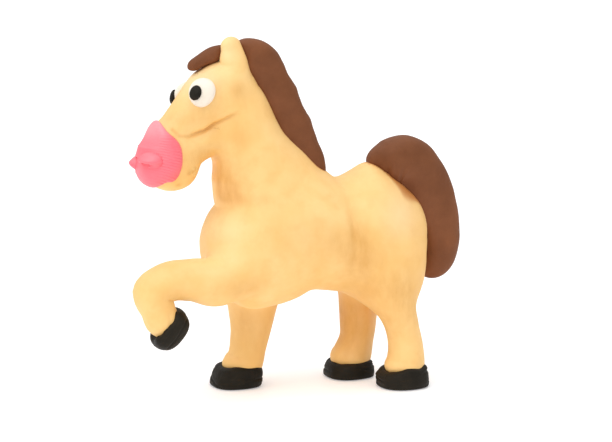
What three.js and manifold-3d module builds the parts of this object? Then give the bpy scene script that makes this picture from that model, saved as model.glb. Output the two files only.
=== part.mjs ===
// A small clay horse. It stands on three hooves and lifts its left foreleg.
// Millimetres, +Z up. The horse faces -X, its left side is towards -Y, and its soles stand on Z = 0.
//
// Each soft piece is a roll of clay: ovals carried along a smooth line through a few stations.
// A station has the middle of its oval, half its depth and half its width (deep and wide).
// A station with no depth is a rounded tip. Pieces that meet are pressed together: the smaller
// one is cut to the surface of the one that carries it, with a thin seam between them.

import * as THREE from "three";
import { mergeVertices } from "three/addons/utils/BufferGeometryUtils.js";
import Module from "manifold-3d";

// Fits
const SEAM = 0.3;

// Colours and finish
const CLAY = {
  yellow: "#f6cd86",
  brown: "#7d4c33",
  pink: "#ff8795",
  black: "#2e2b24",
  white: "#f6efdf",
  wood: "#d9b98a",
  roughness: 0.6,
};

// The barrel of the body, from breast to rump: x along the horse, z above the floor
const TORSO = {
  brisket: { x: -18.4, z: 30, deep: 0, wide: 0 },
  breast: { x: -15.5, z: 30, deep: 7.8, wide: 8 },
  shoulder: { x: -9.5, z: 30, deep: 12.1, wide: 11 },
  girth: { x: -1, z: 30.3, deep: 11.9, wide: 10.8 },
  waist: { x: 8.5, z: 30.8, deep: 11, wide: 10.3 },
  croup: { x: 17.5, z: 31.2, deep: 13.7, wide: 11.3 },
  rump: { x: 22.5, z: 30.7, deep: 10.8, wide: 10 },
  buttock: { x: 26.3, z: 29.9, deep: 6.8, wide: 6.8 },
  back: { x: 28.4, z: 29.2, deep: 0, wide: 0 },
};

// The neck, measured from its root on the middle line of the torso
const NECK_ROOT = 0.39; // share of the torso's length
const NECK = {
  root: { x: 2, z: -1.2, deep: 0, wide: 0 },
  withers: { x: -0.5, z: 2.8, deep: 9.8, wide: 8.8 },
  base: { x: -5, z: 10.8, deep: 11, wide: 8 },
  crest: { x: -9, z: 19.8, deep: 7.6, wide: 6.4 },
  throat: { x: -11.5, z: 28.8, deep: 5.8, wide: 5.5 },
  poll: { x: -12.5, z: 35.8, deep: 0, wide: 0 },
};

// The head's pieces, measured from the poll at the top of the neck
const CRANIUM = {
  nape: { x: 3.5, z: -4.5, deep: 0, wide: 0 },
  crown: { x: 0.5, z: -4.4, deep: 4.8, wide: 4.8 },
  brow: { x: -3.4, z: -6.6, deep: 5.6, wide: 5.6 },
  cheek: { x: -7.5, z: -9.5, deep: 4.6, wide: 5.6 },
  bridge: { x: -11.2, z: -12.2, deep: 3, wide: 4.9 },
  noseTop: { x: -13.9, z: -14.1, deep: 1.8, wide: 4 },
  noseTip: { x: -15, z: -14.9, deep: 0, wide: 0 },
};
const JAW = {
  hinge: { x: -2, z: -14, deep: 0, wide: 0 },
  throat: { x: -4.5, z: -14.8, deep: 3.3, wide: 4.2 },
  cheek: { x: -8.5, z: -17, deep: 5.2, wide: 4.9 },
  chin: { x: -12.4, z: -18.3, deep: 6.6, wide: 5 },
  lip: { x: -15.6, z: -18.4, deep: 4.8, wide: 4.6 },
  muzzle: { x: -17.3, z: -18.6, deep: 3, wide: 3.6 },
  nose: { x: -18.2, z: -18.7, deep: 0, wide: 0 },
};
const EAR = {
  root: { x: 0.5, z: -3, deep: 0, wide: 0 },
  base: { x: -0.4, z: 0.3, deep: 2.5, wide: 1.9 },
  middle: { x: -0.6, z: 2.6, deep: 1.9, wide: 1.7 },
  top: { x: -0.9, z: 4.2, deep: 1.3, wide: 1.3 },
  tip: { x: -1.3, z: 5, deep: 0, wide: 0 },
};
const EAR_SIDE = 2;
const EAR_RIGHT_BACK = 1.6; // the right ear stands this much further back
const EAR_RIGHT_DROP = 0.9;
const FORELOCK = {
  root: { x: -0.6, z: 3.2, deep: 0, wide: 0 },
  lock: { x: -3.3, z: 1.8, deep: 1.2, wide: 1.8 },
  middle: { x: -6.2, z: 0.3, deep: 1, wide: 1.9 },
  end: { x: -8.1, z: -0.9, deep: 0.8, wide: 1.5 },
  tip: { x: -9, z: -1.3, deep: 0, wide: 0 },
};

// The pink muzzle, measured from the front of the jaw, and its nostrils
const MUZZLE = {
  top: { x: 2.6, z: 7.8, deep: 0, wide: 0 },
  bridge: { x: 3, z: 6.3, deep: 1.5, wide: 3.4 },
  upper: { x: 3.9, z: 3.1, deep: 4.1, wide: 5.4 },
  middle: { x: 3.7, z: -0.4, deep: 5, wide: 5.9 },
  lower: { x: 3, z: -3.2, deep: 3.6, wide: 5 },
  bottom: { x: 1.7, z: -5.2, deep: 0, wide: 0 },
};
const NOSTRIL = { turn: 0.78, long: 2.6, high: 1.5, thick: 1.1 };
const NOSTRIL_LEFT_ALONG = 0.58;
const NOSTRIL_RIGHT_ALONG = 0.66; // the right nostril is pressed on lower

// Eyes: a white pat on each side of the head, with a black one on it that looks forward
const EYE = { wide: 2.6, high: 2.95, thick: 1.6 };
const PUPIL = { wide: 1.3, high: 1.5, thick: 0.75 };
const EYE_LEFT_AT = { along: 0.48, turn: 2.2, forward: 0.42 };
const EYE_RIGHT_AT = { along: 0.52, turn: 1.92, forward: 0.8 }; // the right eye sits lower

// The mane lies along the back of the neck: its share of the neck's length, then how far its middle
// lies out from the neck's skin and up along the neck
const MANE = {
  front: { along: 0.96, out: -1.6, up: 4.2, deep: 0, wide: 0 },
  poll: { along: 0.95, out: 0.3, up: 4.2, deep: 1.9, wide: 3 },
  upper: { along: 0.88, out: 3, up: 1.9, deep: 3, wide: 3.6 },
  middle: { along: 0.72, out: 1.9, up: 0.8, deep: 2.9, wide: 3.8 },
  lower: { along: 0.52, out: 1, up: 0.4, deep: 3, wide: 3.8 },
  skirt: { along: 0.36, out: 0.1, up: 0.5, deep: 2.6, wide: 3.6 },
  end: { along: 0.26, out: -0.1, up: 1.2, deep: 1.5, wide: 3 },
  tip: { along: 0.2, out: -0.3, up: 0.9, deep: 0, wide: 0 },
};

// The tail, measured from its root on the top of the croup
const TAIL_ROOT = 0.735; // share of the torso's length
const TAIL = {
  root: { x: -1.4, z: -1.2, deep: 0, wide: 0 },
  dock: { x: 1, z: 0.3, deep: 1.8, wide: 3 },
  rise: { x: 3.8, z: -0.3, deep: 3.8, wide: 4 },
  arch: { x: 7.6, z: -0.4, deep: 5.3, wide: 4.4 },
  bend: { x: 11.5, z: -3.4, deep: 5.6, wide: 4.4 },
  fall: { x: 14, z: -8.4, deep: 5.1, wide: 4.2 },
  switch: { x: 15.4, z: -13.2, deep: 4, wide: 4.1 },
  hang: { x: 15.7, z: -18.2, deep: 3.3, wide: 3.9 },
  hem: { x: 14.9, z: -22.3, deep: 2.9, wide: 3.4 },
  tip: { x: 13.5, z: -24.5, deep: 0, wide: 0 },
};

// Standing legs: x from the hip on the torso's middle line, z above the floor. The side is how far
// out the leg stands, and its top leans inward to the hip.
const FORE_RIGHT = {
  hip: { along: 0.275, side: 5 },
  side: 5.8,
  stations: {
    elbow: { x: -0.3, z: 20.2, inward: 0.4, deep: 5.2, wide: 5 },
    forearm: { x: -0.8, z: 15, inward: 0, deep: 4.5, wide: 4.6 },
    knee: { x: -1.1, z: 12.1, inward: 0, deep: 4.2, wide: 4.2 },
    cannon: { x: -1.7, z: 8.5, inward: 0, deep: 3.7, wide: 3.9 },
    fetlock: { x: -2.7, z: 5.2, inward: 0, deep: 3.8, wide: 3.9 },
    pastern: { x: -3.4, z: 3.7, inward: 0, deep: 4, wide: 4 },
    toe: { x: -4.2, z: 1, inward: 0, deep: 0, wide: 0 },
  },
};
const HIND_LEFT = {
  hip: { along: 0.81, side: -4.5 },
  side: -6.2,
  stations: {
    stifle: { x: 0.5, z: 22.2, inward: 1, deep: 5.5, wide: 5.4 },
    gaskin: { x: 0.8, z: 15.7, inward: 0, deep: 4.1, wide: 4.8 },
    hock: { x: 1.9, z: 12.3, inward: 0, deep: 3.5, wide: 4.2 },
    cannon: { x: 2.8, z: 8.7, inward: 0, deep: 3.5, wide: 3.9 },
    fetlock: { x: 2.7, z: 5.4, inward: 0, deep: 3.8, wide: 4 },
    pastern: { x: 2.4, z: 3.8, inward: 0, deep: 4.2, wide: 4.1 },
    toe: { x: 2.2, z: 1, inward: 0, deep: 0, wide: 0 },
  },
};
const HIND_RIGHT = {
  hip: { along: 0.76, side: 4.8 },
  side: 6,
  stations: {
    stifle: { x: -0.2, z: 22.2, inward: 0.8, deep: 5.4, wide: 5.2 },
    gaskin: { x: -0.4, z: 15.7, inward: 0, deep: 4, wide: 4.6 },
    hock: { x: -0.6, z: 11.5, inward: 0, deep: 3.8, wide: 4.2 },
    cannon: { x: -1.1, z: 7.6, inward: 0, deep: 3.6, wide: 3.9 },
    fetlock: { x: -1.9, z: 5, inward: 0, deep: 4, wide: 4 },
    pastern: { x: -2.4, z: 3.5, inward: 0, deep: 4.2, wide: 4.1 },
    toe: { x: -2.6, z: 0.8, inward: 0, deep: 0, wide: 0 },
  },
};

// The raised foreleg, with its heights measured from the hip
const FORE_LEFT = {
  hip: { along: 0.22, side: -5 },
  side: -7,
  stations: {
    elbow: { x: -9.6, z: -5.9, inward: 0, deep: 4.6, wide: 4.7 },
    forearm: { x: -15.4, z: -5.3, inward: 0, deep: 4.1, wide: 4.4 },
    bend: { x: -20, z: -5.7, inward: 0, deep: 3.8, wide: 4.2 },
    knee: { x: -22.7, z: -7.8, inward: 0, deep: 3.9, wide: 4.1 },
    cannon: { x: -22.1, z: -10.8, inward: 0, deep: 3.3, wide: 3.9 },
    pastern: { x: -20.8, z: -13, inward: 0, deep: 3.2, wide: 3.7 },
    toe: { x: -18.8, z: -15.2, inward: 0, deep: 0, wide: 0 },
  },
};

// A hoof: a thick pat of black clay round the end of the leg, flat underneath
const HOOF = {
  height: 4.5,
  sole: 4.8,
  edge: 5.3,
  edgeHeight: 0.6,
  wall: 5.2,
  wallHeight: 2.2,
  coronet: 4.95,
  coronetHeight: 3.7,
  top: 4.6,
};
const RAISED_HOOF_SHARE = 0.8; // the raised hoof is smaller than the standing ones
const RAISED_SOLE_BELOW = 1.2; // from the end of the raised leg to its sole

// Cocktail sticks inside, which hold the neck and the legs to the torso
const STICK = { radius: 1, clearance: 0.3 };
const NECK_STICK = { into: 4.5, to: 0.86 };
const LEG_STICK = { from: 0.04, to: 0.86 };
const RAISED_STICK = { from: 0.04, to: 0.66 };

// Fineness of the solids
const SIDES = { body: 22, limb: 16, small: 12 };
const RINGS = { torso: 24, neck: 18, head: 15, limb: 22, tail: 20, mane: 18, small: 9, hoof: 8, pat: 8 };
const SLOPE_STEP = 0.01; // share of a roll's length, and turn, over which the slope of its skin is read
const SAME_POINT = 1e-4;

const wasm = await Module();
wasm.setup();

const SIDEWAYS = new THREE.Vector3(0, 1, 0);

// Value and slope at s of the smooth line through values at knots (Catmull-Rom, with relaxed ends)
function through(knots, values, s) {
  const last = knots.length - 1;
  const rise = (i) => (values[i + 1] - values[i]) / (knots[i + 1] - knots[i]);
  const inner = (i) => {
    const before = knots[i] - knots[i - 1];
    const after = knots[i + 1] - knots[i];
    return (rise(i - 1) * after + rise(i) * before) / (before + after);
  };
  const slope = (i) => {
    if (i === 0) return 1.5 * rise(0) - 0.5 * inner(1);
    if (i === last) return 1.5 * rise(last - 1) - 0.5 * inner(last - 1);
    return inner(i);
  };
  let i = 0;
  while (i < last - 1 && s >= knots[i + 1]) i += 1;
  const h = knots[i + 1] - knots[i];
  const t = THREE.MathUtils.clamp((s - knots[i]) / h, 0, 1);
  const [a, b, ma, mb] = [values[i], values[i + 1], slope(i) * h, slope(i + 1) * h];
  const value =
    (2 * t ** 3 - 3 * t ** 2 + 1) * a +
    (t ** 3 - 2 * t ** 2 + t) * ma +
    (3 * t ** 2 - 2 * t ** 3) * b +
    (t ** 3 - t ** 2) * mb;
  const change =
    ((6 * t ** 2 - 6 * t) * (a - b) + (3 * t ** 2 - 4 * t + 1) * ma + (3 * t ** 2 - 2 * t) * mb) / h;
  return [value, change];
}

// A roll of clay. The squares of its half depth and half width run smoothly between the stations,
// which rounds a tip over as a thumb does.
class Roll {
  constructor(stations, rings, sides) {
    Object.assign(this, { stations, rings, sides, gap: 0 });
    this.knots = [0];
    for (let i = 1; i < stations.length; i += 1) {
      this.knots.push(this.knots[i - 1] + stations[i].at.distanceTo(stations[i - 1].at));
    }
    this.length = this.knots.at(-1);
  }

  // Middle, frame and half sizes at a share of the length
  frame(along) {
    const s = along * this.length;
    const run = (value) => through(this.knots, this.stations.map(value), s);
    const [x, dx] = run((o) => o.at.x);
    const [y, dy] = run((o) => o.at.y);
    const [z, dz] = run((o) => o.at.z);
    const ahead = new THREE.Vector3(dx, dy, dz).normalize();
    const side = SIDEWAYS.clone().addScaledVector(ahead, -ahead.y).normalize();
    const up = ahead.clone().cross(side);
    const deep = Math.sqrt(Math.max(run((o) => o.deep ** 2)[0], 0));
    const wide = Math.sqrt(Math.max(run((o) => o.wide ** 2)[0], 0));
    return { middle: new THREE.Vector3(x, y, z), ahead, side, up, deep, wide };
  }

  // A point of the skin: turn 0 is on the up side, a quarter turn is on the +Y side
  skin(along, turn) {
    const f = this.frame(along);
    return f.middle
      .clone()
      .addScaledVector(f.up, f.deep * Math.cos(turn))
      .addScaledVector(f.side, f.wide * Math.sin(turn));
  }

  // The direction straight out of the skin
  outward(along, turn) {
    const lengthwise = this.skin(along + SLOPE_STEP, turn).sub(this.skin(along - SLOPE_STEP, turn));
    const round = this.skin(along, turn + SLOPE_STEP).sub(this.skin(along, turn - SLOPE_STEP));
    return lengthwise.cross(round).normalize();
  }

  // The same roll with its skin moved straight out by a gap
  grown(gap) {
    const bigger = new Roll(this.stations, this.rings, this.sides);
    bigger.gap = gap;
    return bigger;
  }

  // Rings lie closer together towards the ends, where the roll rounds over. An end that keeps a
  // radius is a flat face.
  geometry() {
    const { stations, rings, sides, gap } = this;
    const first = stations[0].deep > 0 ? 0 : 1;
    const last = stations.at(-1).deep > 0 ? rings : rings - 1;
    const points = [];
    for (let i = first; i <= last; i += 1) {
      const along = (1 - Math.cos((Math.PI * i) / rings)) / 2;
      for (let j = 0; j < sides; j += 1) {
        const turn = (2 * Math.PI * j) / sides;
        const point = this.skin(along, turn);
        points.push(gap ? point.addScaledVector(this.outward(along, turn), gap) : point);
      }
    }
    const startPole = points.push(stations[0].at.clone().addScaledVector(this.frame(0).ahead, -gap)) - 1;
    const endPole = points.push(stations.at(-1).at.clone().addScaledVector(this.frame(1).ahead, gap)) - 1;
    const faces = [];
    for (let j = 0; j < sides; j += 1) {
      const next = (j + 1) % sides;
      faces.push(startPole, j, next);
      for (let i = 0; i < last - first; i += 1) {
        const [a, b] = [i * sides + j, i * sides + next];
        const [c, d] = [a + sides, b + sides];
        faces.push(a, d, b, a, c, d);
      }
      const lastRing = (last - first) * sides;
      faces.push(endPole, lastRing + next, lastRing + j);
    }
    return new THREE.BufferGeometry().setFromPoints(points).setIndex(faces);
  }
}

// Stations in the x-z plane of a root point
function stationsFrom(table, root) {
  return Object.values(table).map((o) => ({
    at: new THREE.Vector3(root.x + o.x, root.y, root.z + o.z),
    deep: o.deep,
    wide: o.wide,
  }));
}

function solidFrom(geometry) {
  const bare = geometry.clone();
  bare.deleteAttribute("normal");
  bare.deleteAttribute("uv");
  const merged = mergeVertices(bare, SAME_POINT);
  return new wasm.Manifold(
    new wasm.Mesh({
      numProp: 3,
      vertProperties: merged.attributes.position.array,
      triVerts: new Uint32Array(merged.index.array),
    }),
  );
}

// Presses a shape against its neighbours: what lies within a seam of them goes, and so do the crumbs
function press(shape, neighbours) {
  let solid = solidFrom(shape.geometry());
  for (const other of neighbours) {
    solid = solid.subtract(solidFrom(other.geometry()));
  }
  const bodies = solid.decompose();
  return bodies.reduce((best, body) => (body.volume() > best.volume() ? body : best));
}

function geometryOf(solid) {
  const mesh = solid.getMesh();
  const points = new Float32Array(mesh.numVert * 3);
  for (let i = 0; i < mesh.numVert; i += 1) {
    points.set(mesh.vertProperties.subarray(i * mesh.numProp, i * mesh.numProp + 3), i * 3);
  }
  const geometry = new THREE.BufferGeometry();
  geometry.setAttribute("position", new THREE.BufferAttribute(points, 3));
  geometry.setIndex(new THREE.BufferAttribute(new Uint32Array(mesh.triVerts), 1));
  geometry.computeVertexNormals();
  return geometry;
}

// A pat of clay: a flattened ball, with its thickness along outward and its height near +Z
class Pat {
  constructor(middle, outward, wide, high, thick) {
    Object.assign(this, { middle, outward, wide, high, thick });
  }

  grown(gap) {
    const { middle, outward, wide, high, thick } = this;
    return new Pat(middle, outward, wide + gap, high + gap, thick + gap);
  }

  basis() {
    const across = new THREE.Vector3(0, 0, 1).cross(this.outward).normalize();
    const upward = this.outward.clone().cross(across);
    return { across, upward };
  }

  geometry() {
    const { across, upward } = this.basis();
    const turnTo = new THREE.Matrix4().makeBasis(across, upward, this.outward);
    const ball = new THREE.SphereGeometry(1, SIDES.small, RINGS.pat);
    ball.scale(this.wide, this.high, this.thick);
    ball.applyMatrix4(turnTo);
    return ball.translate(this.middle.x, this.middle.y, this.middle.z);
  }
}

// A cocktail stick between two points, or the hole for it
class Stick {
  constructor(from, to, radius = STICK.radius) {
    Object.assign(this, { from, to, radius });
  }

  grown(gap) {
    const along = this.to.clone().sub(this.from).setLength(gap);
    return new Stick(this.from.clone().sub(along), this.to.clone().add(along), this.radius + gap);
  }

  geometry() {
    const run = this.to.clone().sub(this.from);
    const stick = new THREE.CylinderGeometry(this.radius, this.radius, run.length(), SIDES.small);
    const turn = new THREE.Quaternion().setFromUnitVectors(SIDEWAYS, run.clone().normalize());
    stick.applyQuaternion(turn);
    const middle = this.from.clone().add(this.to).multiplyScalar(0.5);
    return stick.translate(middle.x, middle.y, middle.z);
  }
}

function makeTorso() {
  return new Roll(stationsFrom(TORSO, new THREE.Vector3()), RINGS.torso, SIDES.body);
}

function makeNeck(torso) {
  return new Roll(stationsFrom(NECK, torso.frame(NECK_ROOT).middle), RINGS.neck, SIDES.body);
}

function makeMane(neck) {
  const stations = Object.values(MANE).map((o) => {
    const f = neck.frame(o.along);
    const at = neck.skin(o.along, Math.PI).addScaledVector(f.up, -o.out).addScaledVector(f.ahead, o.up);
    return { at, deep: o.deep, wide: o.wide };
  });
  return new Roll(stations, RINGS.mane, SIDES.limb);
}

// A leg from its hip in the torso to its toe; floorLevel is the height that its stations count from
function makeLeg(hip, table, floorLevel) {
  const out = Math.sign(table.side);
  const rest = Object.values(table.stations).map((o) => ({
    at: new THREE.Vector3(hip.x + o.x, table.side - out * o.inward, floorLevel + o.z),
    deep: o.deep,
    wide: o.wide,
  }));
  const top = { at: new THREE.Vector3(hip.x, table.hip.side, hip.z), deep: 0, wide: 0 };
  return new Roll([top, ...rest], RINGS.limb, SIDES.limb);
}

function standingLeg(torso, table) {
  return makeLeg(torso.frame(table.hip.along).middle, table, 0);
}

function raisedLeg(torso, table) {
  const hip = torso.frame(table.hip.along).middle;
  return makeLeg(hip, table, hip.z);
}

// A hoof on an axis that runs up from the middle of its sole
function makeHoof(sole, upward, share = 1) {
  const station = (height, radius) => ({
    at: sole.clone().addScaledVector(upward, height * share),
    deep: radius * share,
    wide: radius * share,
  });
  const stations = [
    station(0, HOOF.sole),
    station(HOOF.edgeHeight, HOOF.edge),
    station(HOOF.wallHeight, HOOF.wall),
    station(HOOF.coronetHeight, HOOF.coronet),
    station(HOOF.height, HOOF.top),
  ];
  return new Roll(stations, RINGS.hoof, SIDES.limb);
}

function standingHoof(leg) {
  const end = leg.stations.at(-1).at;
  return makeHoof(new THREE.Vector3(end.x, end.y, 0), new THREE.Vector3(0, 0, 1));
}

function raisedHoof(leg) {
  const { middle, ahead } = leg.frame(1);
  const sole = middle.clone().addScaledVector(ahead, RAISED_SOLE_BELOW);
  return makeHoof(sole, ahead.clone().negate(), RAISED_HOOF_SHARE);
}

// The hand is 1 for the right side of the head and -1 for the left
function makeEye(cranium, place, hand) {
  const outward = cranium.outward(place.along, hand * place.turn);
  const middle = cranium.skin(place.along, hand * place.turn);
  return new Pat(middle, outward, EYE.wide, EYE.high, EYE.thick);
}

// The pupil sits on the eye's skin, at an angle forward of its middle
function makePupil(eye, lean) {
  const { across } = eye.basis();
  const forward = across.x < 0 ? across : across.clone().negate();
  const outward = eye.outward.clone().multiplyScalar(Math.cos(lean)).addScaledVector(forward, Math.sin(lean));
  const middle = eye.middle
    .clone()
    .addScaledVector(eye.outward, eye.thick * Math.cos(lean))
    .addScaledVector(forward, eye.wide * Math.sin(lean));
  return new Pat(middle, outward, PUPIL.wide, PUPIL.high, PUPIL.thick);
}

function makeNostril(muzzle, along, hand) {
  const turn = Math.PI - hand * NOSTRIL.turn;
  const outward = muzzle.outward(along, turn);
  const middle = muzzle.skin(along, turn);
  return new Pat(middle, outward, NOSTRIL.long, NOSTRIL.high, NOSTRIL.thick);
}

function legStick(leg, ends) {
  return new Stick(leg.frame(ends.from).middle, leg.frame(ends.to).middle);
}

function neckStick(neck) {
  const foot = neck.frame(0).middle.clone().addScaledVector(neck.frame(0).ahead, NECK_STICK.into);
  return new Stick(foot, neck.frame(NECK_STICK.to).middle);
}

// Scene graph helpers: a group sits at its root point, and its pieces are placed from there
function groupAt(parent, point) {
  const group = new THREE.Group();
  group.userData.origin = point.clone();
  group.position.copy(point);
  if (parent) {
    group.position.sub(parent.userData.origin);
    parent.add(group);
  }
  return group;
}

function addPiece(group, name, solid, colour) {
  const { x, y, z } = group.userData.origin;
  const geometry = geometryOf(solid).translate(-x, -y, -z);
  const material = new THREE.MeshStandardMaterial({ color: colour, roughness: CLAY.roughness, metalness: 0 });
  const mesh = new THREE.Mesh(geometry, material);
  mesh.name = name;
  group.add(mesh);
}

const withSeam = (shapes) => shapes.map((shape) => shape.grown(SEAM));
const hole = (stick) => stick.grown(STICK.clearance);

const horse = groupAt(null, new THREE.Vector3());

function addBody() {
  const torso = makeTorso();
  const neck = makeNeck(torso);
  const spine = neckStick(neck);
  const holes = [hole(spine)];
  const standing = {
    foreleg_right: { table: FORE_RIGHT, hoofName: "hoof_fore_right" },
    hind_leg_left: { table: HIND_LEFT, hoofName: "hoof_hind_left" },
    hind_leg_right: { table: HIND_RIGHT, hoofName: "hoof_hind_right" },
  };
  for (const [name, { table, hoofName }] of Object.entries(standing)) {
    const leg = standingLeg(torso, table);
    holes.push(addLeg(torso, leg, legStick(leg, LEG_STICK), name, standingHoof(leg), hoofName));
  }
  const raised = raisedLeg(torso, FORE_LEFT);
  const raisedStick = legStick(raised, RAISED_STICK);
  holes.push(addLeg(torso, raised, raisedStick, "foreleg_left", raisedHoof(raised), "hoof_fore_left"));
  addPiece(horse, "torso", press(torso, holes), CLAY.yellow);
  addPiece(horse, "neck_stick", solidFrom(spine.geometry()), CLAY.wood);
  addTail(torso);
  addForehand(torso, neck, spine);
}

// Adds a leg with its stick and its hoof, and returns the hole that its stick needs
function addLeg(torso, leg, stick, name, hoof, hoofName) {
  const group = groupAt(horse, leg.stations[0].at);
  addPiece(group, name, press(leg, [...withSeam([torso]), hole(stick)]), CLAY.yellow);
  addPiece(group, name + "_stick", solidFrom(stick.geometry()), CLAY.wood);
  addPiece(group, hoofName, press(hoof, withSeam([leg])), CLAY.black);
  return hole(stick);
}

function addTail(torso) {
  const root = torso.skin(TAIL_ROOT, 0);
  const tail = new Roll(stationsFrom(TAIL, root), RINGS.tail, SIDES.limb);
  addPiece(groupAt(horse, root), "tail", press(tail, withSeam([torso])), CLAY.brown);
}

function addForehand(torso, neck, spine) {
  const forehand = groupAt(horse, neck.stations[0].at);
  addPiece(forehand, "neck", press(neck, [...withSeam([torso]), hole(spine)]), CLAY.yellow);
  const poll = neck.stations.at(-1).at;
  const head = groupAt(forehand, poll);
  const cranium = new Roll(stationsFrom(CRANIUM, poll), RINGS.head, SIDES.body);
  addPiece(head, "cranium", press(cranium, withSeam([neck])), CLAY.yellow);
  const jaw = new Roll(stationsFrom(JAW, poll), RINGS.head, SIDES.body);
  addPiece(head, "jaw", press(jaw, withSeam([neck, cranium])), CLAY.yellow);
  const ears = addEars(head, poll, [neck, cranium]);
  const mane = makeMane(neck);
  addPiece(forehand, "mane", press(mane, withSeam([neck, cranium, ...ears])), CLAY.brown);
  const forelock = new Roll(stationsFrom(FORELOCK, poll), RINGS.small, SIDES.small);
  addPiece(head, "forelock", press(forelock, withSeam([neck, cranium, ...ears, mane])), CLAY.brown);
  addMuzzle(head, jaw, cranium);
  addEyes(head, cranium, neck);
}

function addEars(head, poll, carriers) {
  const leftRoot = poll.clone().add(new THREE.Vector3(0, -EAR_SIDE, 0));
  const rightRoot = poll.clone().add(new THREE.Vector3(EAR_RIGHT_BACK, EAR_SIDE, -EAR_RIGHT_DROP));
  const left = new Roll(stationsFrom(EAR, leftRoot), RINGS.small, SIDES.small);
  const right = new Roll(stationsFrom(EAR, rightRoot), RINGS.small, SIDES.small);
  addPiece(head, "ear_left", press(left, withSeam(carriers)), CLAY.yellow);
  addPiece(head, "ear_right", press(right, withSeam([...carriers, left])), CLAY.yellow);
  return [left, right];
}

function addMuzzle(head, jaw, cranium) {
  const muzzle = new Roll(stationsFrom(MUZZLE, jaw.stations.at(-1).at), RINGS.head, SIDES.limb);
  addPiece(head, "muzzle_cap", press(muzzle, withSeam([jaw, cranium])), CLAY.pink);
  const left = makeNostril(muzzle, NOSTRIL_LEFT_ALONG, -1);
  const right = makeNostril(muzzle, NOSTRIL_RIGHT_ALONG, 1);
  addPiece(head, "nostril_left", press(left, withSeam([muzzle, jaw])), CLAY.pink);
  addPiece(head, "nostril_right", press(right, withSeam([muzzle, jaw, left])), CLAY.pink);
}

function addEyes(head, cranium, neck) {
  addEye(head, [cranium, neck], "left", EYE_LEFT_AT, -1);
  addEye(head, [cranium, neck], "right", EYE_RIGHT_AT, 1);
}

function addEye(head, carriers, name, place, hand) {
  const eye = makeEye(carriers[0], place, hand);
  const pupil = makePupil(eye, place.forward);
  addPiece(head, "eye_" + name, press(eye, withSeam(carriers)), CLAY.white);
  addPiece(head, "pupil_" + name, press(pupil, withSeam([eye, ...carriers])), CLAY.black);
}

addBody();

// The figure's origin is under the middle of its outline, on the floor
const outline = new THREE.Box3().setFromObject(horse);
const middle = outline.getCenter(new THREE.Vector3());
horse.position.set(-middle.x, -middle.y, 0);

export default horse;
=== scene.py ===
"""A small horse of modelling clay, made by hand from rolls and pats that are pressed together.

Lengths in the tables are millimetres in the maker's frame: x from the breast to the tail, y to the horse's
right, z up from the floor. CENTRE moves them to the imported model's frame, and every mesh is in metres.
A station of a roll is x, z, half its depth and half its width, or x, y, z and the two halves for a leg.
"""

import bpy
import numpy as np
from mathutils import Matrix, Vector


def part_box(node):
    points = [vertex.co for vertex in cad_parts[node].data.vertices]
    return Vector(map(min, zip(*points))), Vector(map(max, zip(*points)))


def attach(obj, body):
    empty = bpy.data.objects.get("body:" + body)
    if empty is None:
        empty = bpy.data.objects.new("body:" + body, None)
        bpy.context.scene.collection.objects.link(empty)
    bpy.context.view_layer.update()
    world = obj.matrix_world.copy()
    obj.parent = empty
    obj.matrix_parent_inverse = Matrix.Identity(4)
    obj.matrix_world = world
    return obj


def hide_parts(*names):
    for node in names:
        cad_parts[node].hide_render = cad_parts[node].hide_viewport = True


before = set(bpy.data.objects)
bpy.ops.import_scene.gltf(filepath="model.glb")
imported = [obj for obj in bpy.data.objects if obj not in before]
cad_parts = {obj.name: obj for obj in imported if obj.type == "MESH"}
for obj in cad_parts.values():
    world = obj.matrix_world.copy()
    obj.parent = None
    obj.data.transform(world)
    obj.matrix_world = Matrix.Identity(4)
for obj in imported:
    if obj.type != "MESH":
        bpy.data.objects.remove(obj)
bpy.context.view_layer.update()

MM = 0.001
SIDEWAYS = np.array([0.0, 1.0, 0.0])
UPRIGHT = np.array([0.0, 0.0, 1.0])

# The torso from brisket to buttock
TORSO = [
    (-18.6, 29.6, 0, 0), (-15.7, 29.6, 7.8, 8), (-9.5, 29.6, 12.6, 11), (-4.4, 29.8, 12.5, 11),
    (2.2, 30.45, 10.6, 10.6), (9, 30.2, 10.9, 10.4), (17, 30.5, 13.5, 11.3), (22.3, 29.9, 10.5, 9.8),
    (26.3, 29.3, 6.4, 6.6), (28.4, 29, 0, 0),
]
# The neck from its root in the torso to the poll
NECK_ROOT = (-0.05, 0, 30.3)
NECK = [
    (2, -1.2, 0, 0), (-0.5, 2.8, 9.8, 8.8), (-5.1, 10.8, 11.1, 8), (-9.1, 19.8, 7.7, 6.4),
    (-11.5, 28.8, 5.8, 5.5), (-12.5, 35.8, 0, 0),
]
# The head, from the poll
CRANIUM = [
    (3.5, -4.5, 0, 0), (0.5, -4.4, 5.2, 4.8), (-3.4, -6.6, 6.1, 5.6), (-7.5, -9.5, 4.9, 5.5),
    (-11.3, -12, 3.2, 4.6), (-13.9, -13.9, 2, 3.7), (-15, -14.9, 0, 0),
]
JAW = [
    (-2, -13.6, 0, 0), (-4.5, -14.2, 3.9, 4.2), (-8.5, -16.15, 4.05, 4.9), (-13, -18.5, 6.6, 5),
    (-15.8, -18.7, 5.1, 4.6), (-17.3, -18.6, 3, 3.6), (-18.2, -18.7, 0, 0),
]
EAR = [
    (0.5, -3, 0, 0), (-0.25, 0.3, 2.7, 1.9), (-0.5, 2.6, 2.25, 1.6), (-0.95, 4.4, 1.65, 1.25),
    (-1.15, 5.15, 0, 0),
]
EAR_LEFT_AT = (0, -2, 0)
EAR_RIGHT_AT = (1.6, 2, -0.9)
FORELOCK = [
    (-0.6, 3.2, 0, 0), (-3.3, 1.8, 1.4, 1.7), (-6.2, 0.45, 1.25, 1.6), (-8, -0.65, 1.1, 1.3),
    (-8.8, -1.1, 0, 0),
]
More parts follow.
